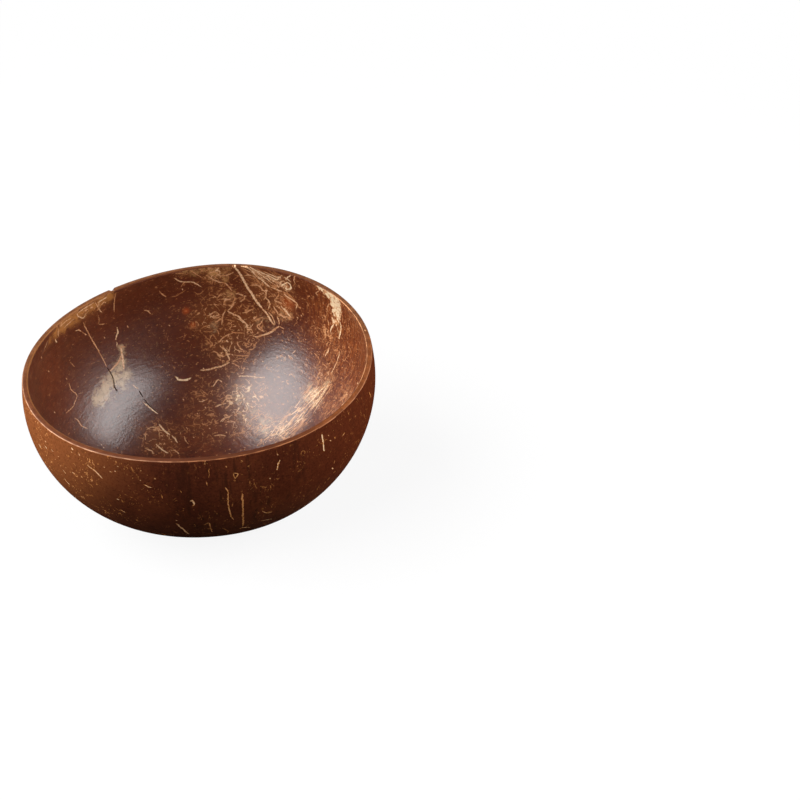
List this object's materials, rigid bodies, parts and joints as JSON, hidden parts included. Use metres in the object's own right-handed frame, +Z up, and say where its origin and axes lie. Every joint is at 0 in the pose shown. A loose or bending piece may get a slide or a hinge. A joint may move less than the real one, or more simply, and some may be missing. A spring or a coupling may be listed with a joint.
{
  "type": "snack bowl",
  "caption": "Round-bottomed snack bowl made from half a coconut shell: lobed oval plan, thin sanded wall, eased level rim, flat foot and speckled oiled surface.",
  "frame": {"origin": "centre of the flat foot, on the surface that the bowl stands on", "axes": "+Z up through the open mouth, +X to the right and +Y away from the viewer, with the oval's long axis near X"},
  "size_m": [0.1317, 0.1165, 0.0693],
  "materials": {
    "shell": "oiled satin coconut shell with pale veins"
  },
  "bodies": {
    "root": {"shell": "shell"}
  },
  "joints": []
}
